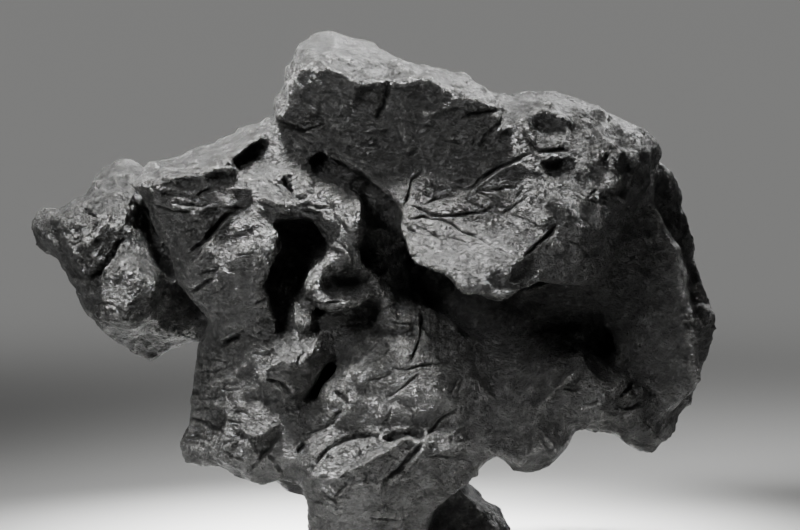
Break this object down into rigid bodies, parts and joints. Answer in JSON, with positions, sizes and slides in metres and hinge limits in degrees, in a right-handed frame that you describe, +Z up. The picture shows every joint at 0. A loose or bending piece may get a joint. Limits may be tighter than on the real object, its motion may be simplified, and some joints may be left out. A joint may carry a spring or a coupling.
{
  "type": "scholars rock",
  "caption": "Dark, leathery scholars rock with a hooded brow, a pierced arch beside a deep chasm and a split side lobe, standing on its flat-sawn foot.",
  "frame": {"origin": "middle of the box's underside, on the surface that the stone stands on", "axes": "+Z up, +X across the display side to the viewer's right, +Y to the rear; the display side faces -Y"},
  "size_m": [0.2612, 0.1028, 0.2008],
  "materials": {
    "stone": "hand-rubbed satin black limestone"
  },
  "bodies": {
    "root": {"stone": "stone"}
  },
  "joints": []
}
